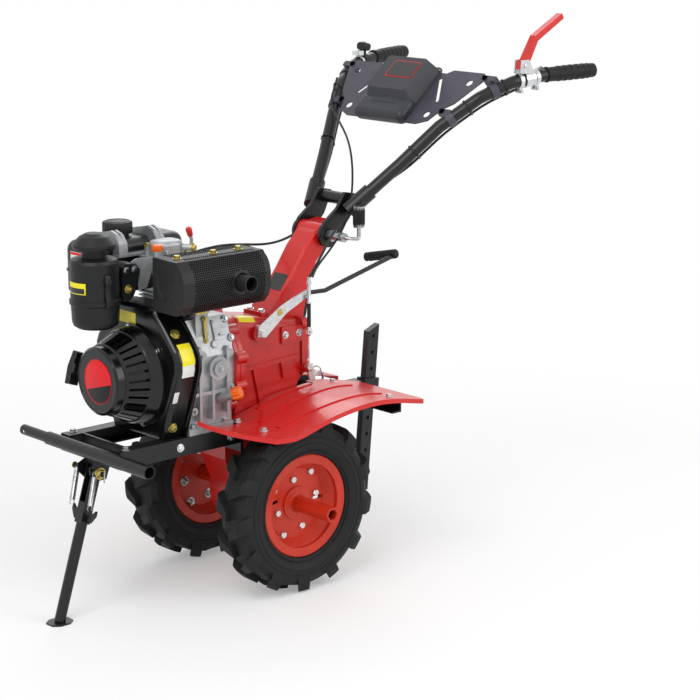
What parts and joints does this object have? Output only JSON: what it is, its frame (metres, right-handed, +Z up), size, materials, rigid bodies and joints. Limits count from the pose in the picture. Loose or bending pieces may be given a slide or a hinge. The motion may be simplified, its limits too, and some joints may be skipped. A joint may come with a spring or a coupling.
{
  "type": "walking tractor",
  "caption": "Two-wheel walking tractor with a small diesel engine, lugged tyres, sheet fenders, folding front stand, depth stake and tilting handlebar with console.",
  "frame": {"origin": "point on the floor midway between the two wheels, straight below their axle", "axes": "+X forwards to the engine and bumper, +Y to the machine's left, +Z up"},
  "size_m": [1.3999, 0.6982, 1.294],
  "materials": {
    "black_paint": "satin",
    "black_plastic": "matte",
    "cast_aluminium": "cast",
    "grey_paint": "satin",
    "grey_plastic": "satin",
    "orange_plastic": "gloss",
    "red_paint": "gloss",
    "rim_paint": "satin",
    "rubber": "matte",
    "spring_steel": "bright",
    "tank_paint": "satin",
    "tyre": "matte",
    "zinc_steel": "zinc plated"
  },
  "bodies": {
    "chassis": {"air_filter": "black_plastic", "axle_housing": "red_paint", "bumper": "black_paint", "bumper_inner_tube": "black_paint", "clutch_arm": "zinc_steel", "clutch_cable": "black_plastic", "crankcase": "cast_aluminium", "cylinder_head": "cast_aluminium", "depth_stake": "black_paint", "exhaust_outlet": "black_paint", "fan_shroud": "black_paint", "frame_end_plate": "black_paint", "fuel_tank": "tank_paint", "gearbox": "red_paint", "gearbox_rear_cover": "red_paint", "handle_column": "red_paint", "hitch": "black_paint", "hitch_pin": "zinc_steel", "left_fender": "red_paint", "left_fender_support": "black_paint", "left_rail": "black_paint", "left_stand_spring": "spring_steel", "muffler": "black_paint", "muffler_guard": "black_paint", "oil_plug": "orange_plastic", "recoil_starter": "black_paint", "right_fender": "red_paint", "right_fender_support": "black_paint", "right_rail": "black_paint", "right_stand_spring": "spring_steel", "shift_grip": "rubber", "shift_rod": "zinc_steel", "stand_beam": "black_paint", "stand_bracket": "black_paint", "starter_handle": "black_plastic", "tank_brackets": "zinc_steel", "throttle_cable": "black_plastic"},
    "left_wheel": {"left_tyre": "tyre", "left_rim": "rim_paint", "left_hub": "rim_paint"},
    "right_wheel": {"right_tyre": "tyre", "right_rim": "rim_paint", "right_hub": "rim_paint"},
    "stand": {"stand_leg": "black_paint"},
    "handlebar": {"handle_yoke": "black_paint", "left_handlebar": "black_paint", "right_handlebar": "black_paint", "left_grip": "rubber", "right_grip": "rubber", "console_plate": "grey_paint", "console_cover": "grey_plastic", "clutch_lever_bracket": "zinc_steel", "clutch_lever": "red_paint", "throttle_lever": "black_plastic", "lock_crank": "zinc_steel"}
  },
  "joints": [
    {"name": "left_wheel_spin", "type": "hinge", "parent": "chassis", "child": "left_wheel", "pos_m": [0, 0.172, 0.205], "axis": [0, 1, 0], "continuous": true},
    {"name": "right_wheel_spin", "type": "hinge", "parent": "chassis", "child": "right_wheel", "pos_m": [0, -0.172, 0.205], "axis": [0, 1, 0], "continuous": true},
    {"name": "stand_fold", "type": "hinge", "parent": "chassis", "child": "stand", "pos_m": [0.441, 0, 0.33], "axis": [0, 1, 0], "range_deg": [0, 85], "deforming": ["left_stand_spring", "right_stand_spring"]},
    {"name": "handlebar_tilt", "type": "hinge", "parent": "chassis", "child": "handlebar", "pos_m": [-0.216, 0, 0.79], "axis": [0, 1, 0], "range_deg": [-20, 10], "deforming": ["clutch_cable", "throttle_cable"]}
  ]
}
